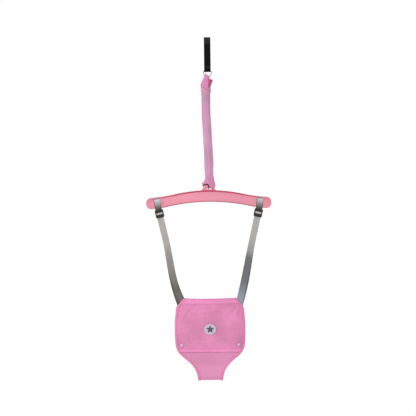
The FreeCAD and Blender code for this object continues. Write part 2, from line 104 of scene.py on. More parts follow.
class Nodes:
    """A new material's node tree, with short calls to add and link nodes."""

    def __init__(self, name):
        self.mat = bpy.data.materials.new(name)
        self.mat.use_nodes = True
        self.tree = self.mat.node_tree
        self.bsdf = self.tree.nodes["Principled BSDF"]

    def add(self, kind, links=(), **values):
        node = self.tree.nodes.new(kind)
        for key, value in values.items():
            if key in node.bl_rna.properties:
                setattr(node, key, value)
            else:
                node.inputs[key.replace("_", " ")].default_value = value
        for socket, source in links:
            self.tree.links.new(source, node.inputs[socket])
        return node

    def plug(self, socket, value):
        """Link an output to the socket, or set the socket's value."""
        if isinstance(value, bpy.types.NodeSocket):
            self.tree.links.new(value, socket)
        else:
            socket.default_value = value

    def math(self, operation, a, b=0.0):
        node = self.add("ShaderNodeMath", operation=operation)
        for socket, value in zip(node.inputs, (a, b)):
            self.plug(socket, value)
        return node.outputs[0]

    def times(self, a, b):
        return self.math("MULTIPLY", a, b)

    def plus(self, a, b):
        return self.math("ADD", a, b)

    def larger(self, a, b):
        return self.math("MAXIMUM", a, b)

    def split(self, where):
        """X, Y and Z of one of the texture coordinates."""
        coord = self.add("ShaderNodeTexCoord").outputs[where]
        return self.add("ShaderNodeSeparateXYZ", [("Vector", coord)]).outputs

    def noise(self, scale, detail=3.0, stretch=(1, 1, 1)):
        coord = self.add("ShaderNodeTexCoord").outputs["Object"]
        mapped = self.add("ShaderNodeMapping", [("Vector", coord)], Scale=stretch)
        return self.add("ShaderNodeTexNoise", [("Vector", mapped.outputs[0])],
                        Scale=scale, Detail=detail).outputs["Fac"]

    def ramp(self, factor, low, high, a=0.3, b=0.7):
        node = self.add("ShaderNodeValToRGB", [("Fac", factor)])
        node.color_ramp.elements[0].position, node.color_ramp.elements[1].position = a, b
        node.color_ramp.elements[0].color, node.color_ramp.elements[1].color = low, high
        return node.outputs["Color"]

    def range(self, factor, low, high):
        return self.add("ShaderNodeMapRange", [("Value", factor)], To_Min=low,
                        To_Max=high).outputs["Result"]

    def edge(self, value, outside, inside):
        """0 where value is at outside, and 1 from inside on."""
        node = self.add("ShaderNodeMapRange", [("Value", value)])
        node.inputs["From Min"].default_value = outside
        node.inputs["From Max"].default_value = inside
        return node.outputs["Result"]

    def mix(self, factor, a, b, blend="MIX"):
        node = self.add("ShaderNodeMix", data_type="RGBA", blend_type=blend)
        for place, value in ((0, factor), (6, a), (7, b)):
            self.plug(node.inputs[place], value)
        return node.outputs[2]

    def stops(self, factor, colours):
        """Colour ramp with any number of (position, colour) stops."""
        node = self.add("ShaderNodeValToRGB", [("Fac", factor)])
        ramp = node.color_ramp
        for element, (position, colour) in zip(ramp.elements, (colours[0], colours[-1])):
            element.position, element.color = position, colour
        for position, colour in colours[1:-1]:
            ramp.elements.new(position).color = colour
        return node.outputs["Color"]

    def bump(self, height, distance, strength=1.0, under=None):
        links = [("Height", height)] + ([("Normal", under)] if under else [])
        return self.add("ShaderNodeBump", links, Distance=distance, Strength=strength).outputs[0]

    def set(self, **sockets):
        for name, value in sockets.items():
            self.plug(self.bsdf.inputs[name.replace("_", " ")], value)


def shade(rgb, factor):
    return tuple(c * factor for c in rgb)


def plain(name, rgb, roughness):
    """Painted or moulded surface with a faint mottle."""
    n = Nodes(name)
    mottle = n.noise(9.0)
    n.set(Base_Color=n.ramp(mottle, linear(shade(rgb, 0.985)), linear(rgb)),
          Roughness=n.range(mottle, roughness - 0.04, roughness + 0.04))
    return n.mat


# heights between which the sleeve's cloth turns rosier: painted shade where it is bunched
BUNCHED_TOP, BUNCHED_LOW = (-0.175, -0.125), (-0.465, -0.515)


def fabric(name, rgb, dark, pitch=0.9, weave=0.00012, sheen=0.12, twill=True, gather_shade=None):
    """Woven cloth: threads pitch mm apart, soft blotches of colour, and a sheen.

    Its last argument is the rosier colour painted on the sleeve's cloth where it is bunched, at its two
    ends: painted shade of the gathers. V of its UV map is the height in metres."""
    n = Nodes(name)
    xyz = n.split("Object")
    across = n.plus(xyz["X"], xyz["Y"])
    turns = 2 * math.pi / (pitch * MM)
    warp = n.math("SINE", n.times(across, turns))
    slant = n.plus(xyz["Z"], n.times(across, 1.0 if twill else 0.0))
    weft = n.math("SINE", n.times(slant, turns))
    thread = n.times(n.plus(warp, weft), 0.25)
    blotch = n.noise(11.0, 5.0)
    slub = n.noise(900.0, 2.0, stretch=(1, 1, 0.25))
    mixed = n.plus(n.times(blotch, 0.7), n.times(slub, 0.3))
    tinted = n.plus(mixed, n.times(thread, 0.12))
    crease = n.bump(n.noise(55.0, 3.0), 0.0009, 0.5)
    colour = n.ramp(tinted, linear(shade(rgb, dark)), linear(rgb), 0.32, 0.66)
    if gather_shade:
        # painted shade: the bunched ends of the sleeve turn rosier
        z = n.plus(n.split("UV")["Y"], n.times(n.noise(38.0, 3.0), 0.06))
        gather_shade_mask = n.larger(n.edge(z, *BUNCHED_TOP), n.edge(z, *BUNCHED_LOW))
        colour = n.mix(n.times(gather_shade_mask, 0.65), colour, linear(gather_shade))
    n.set(Base_Color=colour,
          Roughness=n.range(slub, 0.74, 0.92), Specular_IOR_Level=0.2, Sheen_Weight=sheen,
          Sheen_Roughness=0.4, Sheen_Tint=linear(rgb), Normal=n.bump(thread, weave, 0.9, crease))
    return n.mat


LANE = 0.0031        # width of a lane of the webbing's herringbone
RIB = 0.0017         # from one of its ribs to the next
PAINTED_LIGHT_REACH = 0.45    # length of webbing, from its middle, that has painted light and shade


def webbing(name, rgb, dark, sheen=0.1, gloss=0.4, painted_light=()):
    """Flat woven strap: herringbone ribs from the UV map, whose unit is a metre.

    Its last argument has stops (place, grey, blueness) of painted light and shade each way along the
    strap: place 0 is its middle, and place 1 lies as far away as the reach set above."""
    n = Nodes(name)
    uv = n.split("UV")
    u, v = uv["X"], uv["Y"]
    zigzag = n.math("PINGPONG", u, LANE)
    rib = n.math("SINE", n.times(n.plus(v, zigzag), 2 * math.pi / RIB))
    lane = n.math("SINE", n.times(u, 2 * math.pi / LANE))
    height = n.plus(n.times(rib, 0.35), n.times(lane, 0.2))
    blotch = n.noise(30.0, 4.0)
    fuzz = n.noise(1400.0, 2.0)
    tone = n.plus(n.times(blotch, 0.8), n.times(height, 0.22))
    colour = n.ramp(tone, linear(shade(rgb, dark)), linear(rgb), 0.22, 0.62)
    if painted_light:
        # painted light and shade along the strap, multiplied onto its colour
        along = n.edge(n.math("ABSOLUTE", v), 0.0, PAINTED_LIGHT_REACH)
        tones = [(place, linear((grey * (2 - blue), grey, grey * blue))) for place, grey, blue in painted_light]
        colour = n.mix(1.0, colour, n.stops(along, tones), "MULTIPLY")
    n.set(Base_Color=colour,
          Roughness=n.range(fuzz, 0.50, 0.75), Specular_IOR_Level=gloss, Sheen_Weight=sheen,
          Sheen_Roughness=0.5, Sheen_Tint=linear(rgb),
          Normal=n.bump(height, 0.00022, 0.9, n.bump(fuzz, 0.00006, 0.6)))
    return n.mat


GRAIN = 0.00003      # depth of the fine texture of moulded plastic


def moulded(name, rgb, roughness):
    """Injection-moulded plastic with fine texture and flow marks."""
    n = Nodes(name)
    flow = n.noise(7.0, 4.0, stretch=(0.35, 1, 1))
    speck = n.noise(2300.0, 2.0)
    n.set(Base_Color=n.ramp(flow, linear(shade(rgb, 0.96)), linear(rgb), 0.3, 0.7),
          Roughness=n.range(flow, roughness - 0.05, roughness + 0.07),
          Normal=n.bump(speck, GRAIN, 0.7))
    return n.mat


# The bar's outline from the front: its top edge is the higher of an arch, z = top - fall x^2, and of
# two straight flanks, z = top - fall |x| and no higher than FLANK_MOST. Its lower edge is an arch.
CROWN_TOP, CROWN_FALL = -0.5738, 0.858
FLANK_TOP, FLANK_FALL, FLANK_MOST = -0.5707, 0.14, -0.585
LOW_TOP, LOW_FALL = -0.6177, 0.711


def bar_plastic(name, rgb, rim, edge):
    """Moulded plastic of the bar, with painted shade in deeper tones on its rims, crest and knobs, and a
    painted shadow line along its lower edge.

    Each mask is 1 on its part of the bar and fades out over the two places that its edge calls name."""
    n = Nodes(name)
    xyz = n.split("Object")
    x, y, z = (xyz[k] for k in "XYZ")
    facing = n.split("Normal")["Y"]
    arch = n.times(x, x)
    aside = n.math("ABSOLUTE", x)
    crown = n.math("SUBTRACT", CROWN_TOP, n.times(arch, CROWN_FALL))
    flank = n.math("MINIMUM", n.math("SUBTRACT", FLANK_TOP, n.times(aside, FLANK_FALL)), FLANK_MOST)
    under_top = n.math("SUBTRACT", z, n.larger(crown, flank))
    above_low = n.plus(z, n.plus(n.times(arch, LOW_FALL), -LOW_TOP))
    front = n.edge(y, -0.0090, -0.0098)
    # painted shade: the rim colour along the top rim, the crest, the knobs' front fillets and the knob
    # caps, deepest towards their tops
    upper_rim = n.times(front, n.times(n.edge(under_top, -0.0064, -0.0046), n.edge(aside, 0.226, 0.200)))
    crest = n.times(n.edge(under_top, -0.0066, -0.0050), n.edge(aside, 0.150, 0.125))
    crest = n.times(crest, n.edge(y, -0.0070, -0.0080))
    knob_side = n.times(n.times(front, n.edge(aside, 0.198, 0.212)), n.edge(facing, -0.96, -0.75))
    cap_tone = n.plus(n.times(n.edge(under_top, -0.020, -0.003), 0.32), 0.10)
    cap = n.times(cap_tone, n.edge(aside, 0.199, 0.209))
    painted_edge_shade = n.larger(n.larger(n.larger(upper_rim, crest), n.times(knob_side, 0.8)), cap)
    # painted shadow: the last colour as a dark line along the bar's lower edge
    painted_under_shadow = n.times(n.edge(above_low, 0.0034, 0.0018), n.edge(y, 0.009, 0.007))
    painted_under_shadow = n.times(painted_under_shadow, n.edge(aside, 0.215, 0.190))
    flow = n.noise(7.0, 4.0, stretch=(0.3, 1, 1))
    base = n.ramp(flow, linear(shade(rgb, 0.94)), linear(rgb), 0.3, 0.7)
    tinted = n.mix(n.times(painted_edge_shade, 0.92), base, linear(rim))
    speck = n.noise(2300.0, 2.0)
    n.set(Base_Color=n.mix(n.times(painted_under_shadow, 0.9), tinted, linear(edge)),
          Roughness=n.range(flow, 0.30, 0.42), Specular_IOR_Level=0.35,
          Normal=n.bump(speck, GRAIN, 0.7))
    return n.mat


def metal(name, rgb, roughness):
    """Drawn wire: fine lengthwise scratches and uneven polish."""
    n = Nodes(name)
    marks = n.noise(700.0, 3.0, stretch=(1, 1, 0.15))
    tarnish = n.noise(120.0, 3.0)
    n.set(Base_Color=n.ramp(tarnish, linear(shade(rgb, 0.8)), linear(rgb)), Metallic=1.0,
          Roughness=n.range(marks, roughness - 0.06, roughness + 0.1),
          Normal=n.bump(marks, 0.00001, 0.6))
    return n.mat


# Mesh helpers ----
def mesh_object(name, points, faces, material, uvs=None):
    mesh = bpy.data.meshes.new(name)
    mesh.from_pydata([tuple(p) for p in points], [], [tuple(f) for f in faces])
    if uvs is not None:
        layer = mesh.uv_layers.new(name="UVMap")
        for loop in mesh.loops:
            layer.data[loop.index].uv = uvs[loop.vertex_index]
    mesh.validate()
    mesh.materials.append(material)
    mesh.polygons.foreach_set("use_smooth", [True] * len(mesh.polygons))
    obj = bpy.data.objects.new(name, mesh)
    bpy.context.collection.objects.link(obj)
    return obj


def grid_faces(rows, columns, wrap=False):
    """Quads of a grid of points; wrap joins its last column to its first."""
    faces = []
    last = columns if wrap else columns - 1
    for i in range(rows - 1):
        for j in range(last):
            k = (j + 1) % columns
            faces.append((i * columns + j, i * columns + k, (i + 1) * columns + k,
                          (i + 1) * columns + j))
    return faces


def unit(vectors):
    vectors = np.asarray(vectors, float)
    return vectors / np.maximum(np.linalg.norm(vectors, axis=-1, keepdims=True), 1e-12)


def tangents(path):
    return unit(np.gradient(np.asarray(path, float), axis=0))


def smooth_path(points, steps):
    """Catmull-Rom curve through the points, with steps samples from each to the next."""
    p = np.asarray(points, float)
    p = np.vstack([2 * p[0] - p[1], p, 2 * p[-1] - p[-2]])
    out = []
    for a, b, c, d in zip(p, p[1:], p[2:], p[3:]):
        for t in np.arange(steps) / steps:
            out.append(0.5 * (2 * b + (c - a) * t + (2 * a - 5 * b + 4 * c - d) * t * t
                              + (3 * b - a - 3 * c + d) * t ** 3))
    return np.array(out + [p[-2]])


def lengths(path):
    """Length of the path up to each of its points."""
    return np.concatenate([[0], np.cumsum(np.linalg.norm(np.diff(path, axis=0), axis=1))])


def read_off(at, places, values):
    """Rows of values, known at places, read off at other places."""
    return np.stack([np.interp(at, places, values[:, k]) for k in range(3)], axis=1)


def resample(path, spacing):
    """The same path with points about spacing apart."""
    path = np.asarray(path, float)
    length = lengths(path)
    count = max(2, int(round(length[-1] / spacing)) + 1)
    at = np.linspace(0, length[-1], count)
    return read_off(at, length, path)


def sweep(name, path, across, profile, material, out=None):
    """Closed profile of (across, out) offsets, carried along the path.

    UVs are in metres, and V is 0 at the middle of the path."""
    path = np.asarray(path, float)
    along = tangents(path)
    across = unit(np.broadcast_to(np.asarray(across, float), path.shape))
    if out is None:
        out = unit(np.cross(across, along))
    else:
        out = unit(np.broadcast_to(np.asarray(out, float), path.shape))
    length = lengths(path)
    profile = np.asarray(profile, float)
    count = len(profile)
    points = (path[:, None] + across[:, None] * profile[None, :, :1]
              + out[:, None] * profile[None, :, 1:]).reshape(-1, 3)
    uvs = [(profile[j, 0], length[i] - length[-1] / 2) for i in range(len(path)) for j in range(count)]
    faces = grid_faces(len(path), count, wrap=True)
    faces += [tuple(range(count))[::-1], tuple((len(path) - 1) * count + j for j in range(count))]
    return mesh_object(name, points, faces, material, uvs)


def strap_profile(width, thick, columns=10):
    """Rounded flat section, slightly thicker at its woven edges."""
    half, t = width / 2, thick / 2
    xs = np.linspace(-half + t, half - t, columns)
    swell = t * (0.86 + 0.14 * np.abs(xs / half) ** 6)
    top = [(x, s) for x, s in zip(xs, swell)]
    low = [(x, -s) for x, s in zip(xs[::-1], swell[::-1])]
    turn = [(half - t * 0.3, t * 0.7), (half, 0), (half - t * 0.3, -t * 0.7)]
    back = [(-half + t * 0.3, -t * 0.7), (-half, 0), (-half + t * 0.3, t * 0.7)]
    return (top + turn + low + back)[::-1]


STITCH_LIFT = 0.0002
FINE_STITCH = (0.0022, 0.0009, 0.0003)      # length, gap and radius


def stitches(name, path, out, material, length=0.0030, gap=0.0011, radius=0.00038):
    """Row of sewn stitches lying on a surface; out is the surface's normal, one or one a point."""
    path = np.asarray(path, float)
    sides = 6
    if len(path) == 2:
        path = np.linspace(path[0], path[1], 12)
    fine = resample(path, (length + gap) / 2)
    normals = np.broadcast_to(np.asarray(out, float), path.shape)
    at = np.linspace(0, len(path) - 1, len(fine))
    normals = unit(read_off(at, np.arange(len(path)), normals))
    points, faces = [], []
    share = length / (length + gap) / 2
    for i in range(0, len(fine) - 2, 2):
        a, c = fine[i], fine[i + 2]
        b = (a + c) / 2
        direction = unit(c - a)
        normal = normals[i + 1]
        side = unit(np.cross(direction, normal))
        base = len(points)
        for t, rise in ((-1.0, -0.4), (-0.7, 0.7), (0.7, 0.7), (1.0, -0.4)):
            centre = b + direction * t * share * (length + gap)
            centre = centre + normal * (STITCH_LIFT + rise * radius)
            size = radius * (1.0 if abs(t) < 1 else 0.45)
            for angle in range(sides):
                turn = 2 * math.pi / sides * angle
                points.append(centre + side * math.cos(turn) * size + normal * math.sin(turn) * size)
        faces += [tuple(base + k for k in face) for face in grid_faces(4, sides, wrap=True)]
        faces.append(tuple(base + j for j in range(sides - 1, -1, -1)))
        faces.append(tuple(base + 3 * sides + j for j in range(sides)))
    return mesh_object(name, points, faces, material)


def wobble(x, y, z, scale, seed):
    """Smooth noise from -1 to 1."""
    return noise.noise(Vector((x * scale + seed, y * scale - seed, z * scale + 2 * seed)))


def finish_piece(obj, body, slot, *nodes):
    """Set a piece's body and the CAD nodes that it replaces; slot is not used."""
    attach(obj, body)
    if nodes:
        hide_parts(*nodes)
    return obj


def sewn(name, path, out, thread, body, slot, *size):
    """A row of stitches as a piece of its own."""
    return finish_piece(stitches(name, path, out, M[thread], *size), body, slot)


def thicken(obj, thickness, offset, inner_slot=0):
    """Give a sheet its thickness; the last argument is the material slot of its inner side."""
    mod = obj.modifiers.new("cloth_thickness", "SOLIDIFY")
    mod.thickness, mod.offset, mod.use_even_offset = thickness, offset, False
    mod.material_offset = inner_slot


# Looks, with colours as 8-bit display values ----
GREY_WEB = (205, 198, 192)

# painted light and shade (place, grey, blueness) along each side's webbing, from its middle over the
# bar: painted highlights on the bar's top and in the slider's window, painted shade under the bar and
# down the strands, bluish painted light lower down
LEFT_PAINTED_LIGHT = [(0, 255, 1.05), (0.014, 255, 1.05), (0.054, 178, 1.03), (0.089, 108, 1), (0.109, 100, 1),
             (0.124, 255, 1), (0.154, 255, 1), (0.184, 206, 1), (0.374, 204, 1), (0.524, 170, 1),
             (0.664, 149, 1), (0.784, 113, 1), (0.924, 121, 1)]
RIGHT_PAINTED_LIGHT = [(0, 255, 1.05), (0.014, 255, 1.05), (0.054, 182, 1.03), (0.089, 111, 1), (0.109, 102, 1),
              (0.124, 255, 1), (0.154, 255, 1), (0.184, 210, 1.02), (0.40, 204, 1.02), (0.47, 185, 1.03),
              (0.53, 130, 1.05), (0.62, 128, 1.07), (0.74, 139, 1.08), (0.82, 170, 1.09),
              (0.92, 193, 1.09)]

# what makes the material, its name, its colour, and the rest of what its function takes
LOOKS = [
    (webbing, "black_webbing", (12, 11, 14), 0.6, 0.0, 0.06),
    (webbing, "strap_end", (32, 32, 34), 0.7, 0.0, 0.12),
    (plain, "black_thread", (46, 46, 50), 0.6),
    (metal, "steel", (158, 158, 160), 0.26),
    (metal, "spring_steel", (92, 88, 90), 0.34),
    # the sleeve's last colour is painted shade where its cloth is bunched
    (fabric, "sleeve_fabric", (192, 142, 170), 0.86, 0.7, 0.00008, 0.15, False, (200, 118, 158)),
    (fabric, "sleeve_double", (206, 132, 169), 0.84, 0.7, 0.00008, 0.15, False),
    # darker inner side of the sleeve's cloth: painted shade
    (fabric, "sleeve_lining", (182, 76, 122), 0.80, 0.7, 0.00008, 0.1, False),
    # the bar's second colour is painted shade on its rims and knobs, its third a painted shadow under
    # its lower edge
    (bar_plastic, "bar_plastic", (212, 134, 151), (178, 44, 80), (120, 38, 60)),
    (webbing, "grey_webbing", GREY_WEB, 0.90),
    # these two webbings carry the painted light and shade of each side's strap
    (webbing, "left_webbing", GREY_WEB, 0.90, 0.1, 0.4, LEFT_PAINTED_LIGHT),
    (webbing, "right_webbing", GREY_WEB, 0.90, 0.1, 0.4, RIGHT_PAINTED_LIGHT),
    (moulded, "slider_plastic", (7, 7, 9), 0.30),
    (fabric, "seat_fabric", (216, 134, 175), 0.84),
    (fabric, "hem_fabric", (226, 138, 184), 0.86),
    (fabric, "binding_fabric", (216, 122, 164), 0.93, 0.6, 0.00008),
    (fabric, "crotch_fabric", (210, 137, 174), 0.93),
    (plain, "pink_thread", (238, 160, 198), 0.6),
    (plain, "crotch_thread", (214, 141, 178), 0.6),
    (fabric, "badge_fabric", (188, 178, 192), 0.94, 0.5, 0.00006, 0.2, False),
    (plain, "badge_thread", (78, 70, 92), 0.5),
    (moulded, "snap_plastic", (184, 164, 190), 0.3),
]
M = {name: make(name, *values) for make, name, *values in LOOKS}


def carried_over():
    """CAD nodes whose shape stays: better material."""
    kept = {"d_ring": "steel", "spring_top_hook": "spring_steel", "spring_bottom_hook": "spring_steel",
            "spreader_bar": "bar_plastic"}
    for side in SIDES:
        kept.update({side + "_slider": "slider_plastic", side + "_snap_cap": "snap_plastic",
                     side + "_snap_socket": "snap_plastic"})
    for node, name in kept.items():
        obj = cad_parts[node]
        obj.data.materials.clear()
        obj.data.materials.append(M[name])


# Door strap ----
def door_strap():
    """Black strap: its eye for the door clamp, its front and back layers, and its loop in the ring."""
    low, high = (Vector(c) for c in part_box("door_strap"))
    web_t, web_w = 0.0019, 0.025
    tab_t, tab_w, tab_r = 0.0012, 0.0232, 0.0084
    seam_x, ring_seam_x = 0.0098, 0.0105
    eye_r, ring_r = high.z - web_t / 2 - 0.0001, 0.0023 + web_t / 2
    ring_z = low.z + 0.0002 + ring_r + web_t / 2
    half = web_t / 2 + 0.00005

    def circle(cy, cz, r, start, end, count):
        return [(0, cy + r * math.cos(a), cz + r * math.sin(a))
                for a in np.radians(np.linspace(start, end, count))]
    front = [(0, -half, z) for z in np.linspace(-0.019, ring_z + 0.012, 12)]
    path = circle(0, 0, eye_r, -40, 220, 26) + front[:1] + front
    path += circle(0, ring_z, ring_r, 205, 335, 18)
    path += [(0, half, z) for z in np.linspace(ring_z + 0.012, -0.019, 12)]
    path = resample(smooth_path(resample(path, 0.002), 2), 0.0015)
    profile = strap_profile(web_w, web_t)
    strap = sweep("door_strap_webbing", path, (1, 0, 0), profile, M["black_webbing"])
    finish_piece(strap, "door_mount", "black_webbing", "door_strap")
    tab_low, tab_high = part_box("strap_tab")
    around = circle(0, 0, tab_r, 150, 198, 5)
    foot = (0, tab_high[1] - 0.0010, tab_low[2])
    route = resample(around + [foot], 0.0012)
    tab = sweep("strap_sewn_end", route, (1, 0, 0), strap_profile(tab_w, tab_t), M["strap_end"])
    finish_piece(tab, "door_mount", "black_webbing", "strap_tab")
    normal = unit(np.cross(tangents(route), (1, 0, 0)))
    normal *= -np.sign(normal[:, 1:2])
    face = route + normal * (tab_t / 2 + 0.0001)
    x = np.array([seam_x, 0, 0])
    middle = len(face) // 2
    seams = [(face[2:-2] - x, normal[2:-2]), (face[2:-2] + x, normal[2:-2])]
    seams += [(np.array([face[k] - x, face[k] + x]), normal[k]) for k in (2, -3, middle)]
    slant = face[middle:-2]
    share = np.linspace(-1, 1, len(slant))[:, None]
    seams += [(slant + x * share, normal[-4]), (slant - x * share, normal[-4])]
    for k, (seam, out) in enumerate(seams):
        sewn(f"strap_top_stitch_{k}", seam, out, "black_thread", "door_mount", "black_webbing",
             *FINE_STITCH)
    for k in range(3):
        z = ring_z + 0.013 + 0.0022 * k
        line = [(s * ring_seam_x, -web_t - 0.0001, z) for s in (-1, 1)]
        sewn(f"strap_ring_stitch_{k}", line, (0, -1, 0), "black_thread", "door_mount",
             "black_webbing", *FINE_STITCH)


# Spring ----
def coil_centre(z):
    """The unloaded spring bows a little inside its sleeve."""
    low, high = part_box("spring_coil")
    depths = [-high[2], -high[2] + 0.03, 0.3, 0.4, 0.46, -low[2] - 0.03, -low[2]]
    bow = [-0.0010, -0.0034, -0.0030, 0.0002, 0.0012, 0.0004, -0.0010]
    return np.interp(-np.asarray(z), depths, bow)


def coil():
    """Close-wound wire, whose line bows with the sleeve."""
    low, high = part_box("spring_coil")
    wire_r, pitch, steps = 0.0015, 0.0033, 20
    radius = (high[0] - low[0]) / 2 - 0.0026
    tall = high[2] - low[2] - 2 * wire_r
    turns = int(tall / pitch)
    angle = np.arange(turns * steps + 1) * 2 * math.pi / steps
    z = high[2] - wire_r - angle / (2 * math.pi) * tall / turns
    path = np.stack([radius * np.cos(angle + math.pi) + coil_centre(z),
                     radius * np.sin(angle + math.pi), z], axis=1)
    outward = np.stack([np.cos(angle + math.pi), np.sin(angle + math.pi), 0 * angle], axis=1)
    ring = [(wire_r * math.cos(a), wire_r * math.sin(a)) for a in np.arange(8) * math.pi / 4]
    obj = sweep("coil_wire", path, outward, ring, M["spring_steel"])
    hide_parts("spring_coil")
    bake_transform(obj)


def safety_band():
    """Flat band laid in waves inside the coil, from the ring to the bar's eye."""
    low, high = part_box("safety_strap")
    coil_low, coil_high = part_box("spring_coil")
    waves, swing = 18, 0.0050
    z = np.linspace(coil_high[2] - 0.014, coil_low[2] + 0.018, 360)
    wave = np.stack([coil_centre(z), swing * np.sin(waves * 2 * math.pi * np.linspace(0, 1, len(z))), z],
                    axis=1)
    start = [(0.0050, 0, high[2] - 0.006), (0.0048, 0, high[2] - 0.024), (0.0030, 0, z[0] + 0.006)]
    bridge = low[2] + 0.0015
    end = [(0.0010, 0, z[-1] - 0.006), (0.0045, 0, bridge + 0.028), (0.0063, 0, bridge + 0.019)]
    path = resample(smooth_path(np.vstack([start, wave, end]), 2), 0.0012)
    obj = sweep("safety_band", path, (1, 0, 0), strap_profile(0.0056, 0.0011, 4), M["grey_webbing"])
    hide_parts("safety_strap")
    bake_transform(obj)
    reach = 0.0060
    turn = [(reach * math.cos(a), reach * math.sin(a)) for a in np.radians(np.arange(180, 361, 15))]
    loop = [(-0.0008, bridge + 0.0190), (-0.0012, bridge + 0.0155), (-reach, bridge + 0.0085)]
    loop += [(y, bridge + 0.0051 + up) for y, up in turn] + [(-y, z) for y, z in loop[::-1]]
    loop = [(0.0086, y, z) for y, z in loop]
    end = sweep("safety_band_end", resample(smooth_path(loop, 3), 0.0008), (1, 0, 0),
                strap_profile(0.0048, 0.0010, 4), M["grey_webbing"])
    finish_piece(end, "bar", "grey_webbing")


# Sleeve ----
# height, left edge, right edge, half the depth (mm)
COLLAR = [(-126, -15.6, 1.2, 9.4), (-138, -14.0, 4.0, 9.4), (-144, -14.6, 4.6, 9.6),
          (-150, -16.8, 8.0, 10.4), (-158, -20.6, 9.6, 12.2), (-165, -23.8, 10.6, 14.0),
          (-174, -26.9, 11.2, 15.2), (-200, -26.0, 11.4, 15.6)]
TUBE = [(-150, -11.0, 3.0, 6.0), (-160, -17.6, 7.4, 9.0), (-170, -23.2, 9.4, 11.0),
        (-178, -25.8, 10.6, 12.0), (-190, -25.6, 10.8, 12.8), (-200, -24.6, 10.8, 14.2),
        (-216, -23.2, 9.7, 14.2), (-292, -23.0, 9.9, 14.2), (-353, -19.6, 13.2, 14.2),
        (-413, -16.6, 16.4, 14.2), (-474, -15.4, 19.4, 14.2), (-497, -14.6, 18.0, 14.2),
        (-516, -13.2, 18.2, 13.8), (-532, -12.4, 20.6, 12.6), (-541, -17.5, 22.0, 12.0),
        (-548, -25.5, 24.6, 12.4), (-556, -21.5, 25.0, 12.2), (-570, -18.5, 24.0, 12.0)]


def outline_at(table, z):
    """Middle, half the width and half the depth of a COLLAR or TUBE outline at a height."""
    heights = [-row[0] * MM for row in table]
    left, right, deep = (float(np.interp(-z, heights, [row[k] * MM for row in table]))
                         for k in (1, 2, 3))
    return (left + right) / 2, (right - left) / 2, deep


def step(x, a, b):
    """0 up to a and 1 from b on, with a smooth rise between."""
    t = min(1.0, max(0.0, (x - a) / (b - a)))
    return t * t * (3 - 2 * t)


def tube_grid(rows, columns):
    """Share of the way down, angle, and parts to the right and front, for each point of a tube."""
    for i in range(rows):
        for j in range(columns):
            a = 2 * math.pi * j / columns
            yield i / (rows - 1), a, math.cos(a), -math.sin(a)


def tube_shaded_inside(name, points, rows, columns, material, thickness, uvs=None):
    faces = [f[::-1] for f in grid_faces(rows, columns, wrap=True)]
    obj = mesh_object(name, points, faces, M[material], uvs)
    # the tube's inner side gets the darker material: painted shade inside the sleeve
    obj.data.materials.append(M["sleeve_lining"])
    thicken(obj, thickness, 0, 1)
    return obj


def sleeve_tube():
    """Loose tube that hangs off centre, drawn in at the waist, with a crooked, flared mouth."""
    low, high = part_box("spring_sleeve")
    top, end = high[2] - 0.002, low[2]
    rows, columns = 250, 108
    waist_z, mean_r = -0.534, 0.017
    right_hang, left_hang = -0.0060, 0.0112
    points, uvs = [], []
    for t, a, right, front in tube_grid(rows, columns):
        lobe = step(right, -0.25, 0.35)
        hang = left_hang * (1 - lobe) + right_hang * lobe
        edge = end + max(0.0, front) ** 0.6 * hang + 0.0008 * math.sin(7 * a)
        z = top + (edge - top) * t
        middle, wide, deep = outline_at(TUBE, z)
        drop = (top - z) / (top - end)
        crease = 0.0005 * math.sin(9 * a + 5 * math.sin(6 * drop))
        crease += 0.0004 * math.sin(14 * a - 9 * drop)
        crease += 0.0013 * wobble(right, front, drop * 9, 1.2, 3.1)
        crease += 0.0007 * wobble(right * 2, front * 2, drop * 34, 1.4, 8.7)
        waist = math.exp(-((z - waist_z) / 0.010) ** 2)
        crease += waist * 0.0016 * math.sin(6 * a + 1.2)
        frill = step(-z, 0.540, 0.552) * 0.0011 * math.sin(8 * a + 0.4)
        x = middle + (wide + 0.35 * crease + frill) * right
        points.append((x, -(deep + crease + frill) * front, z))
        uvs.append((mean_r * a, z))
    obj = tube_shaded_inside("sleeve_tube", points, rows, columns, "sleeve_fabric", 0.0007, uvs)
    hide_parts("spring_sleeve")
    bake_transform(obj)


def sleeve_collar():
    """Turned-over top of the sleeve: a peak before the ring, and a lower edge sloping to the right."""
    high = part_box("spring_sleeve")[1]
    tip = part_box("d_ring")[0][2] + 0.0168
    rows, columns = 60, 120
    points = []
    for t, a, right, front in tube_grid(rows, columns):
        turn = math.degrees(math.acos(max(-1.0, min(1.0, front))))
        top = tip + np.interp(turn, [0, 20, 45, 70, 90, 180],
                              [0, -0.0080, -0.0130, -0.0180, -0.0212, -0.0220])
        edge = high[2] - 0.0355 - 0.0125 * right - 0.002 * front + 0.0007 * math.sin(5 * a)
        z = top + (edge - top) * t
        middle, wide, deep = outline_at(COLLAR, z)
        fall = step(-z, 0.128, 0.16)
        fan = 0.0010 * math.sin(11 * a + 0.8) + 0.0006 * math.sin(19 * a + 14 * t)
        fan *= fall * (1 - 0.5 * step(-z, 0.165, 0.19))
        fan += 0.0008 * wobble(right, front, z * 70, 1.6, 5.0)
        roll = 0.0011 * step(t, 0.86, 1.0)
        points.append((middle + (wide + 0.3 * fan + roll) * right, -(deep + fan + roll) * front, z))
    obj = tube_shaded_inside("sleeve_collar", points, rows, columns, "sleeve_double", 0.0008)
    finish_piece(obj, "spring_top", "sleeve_fabric")


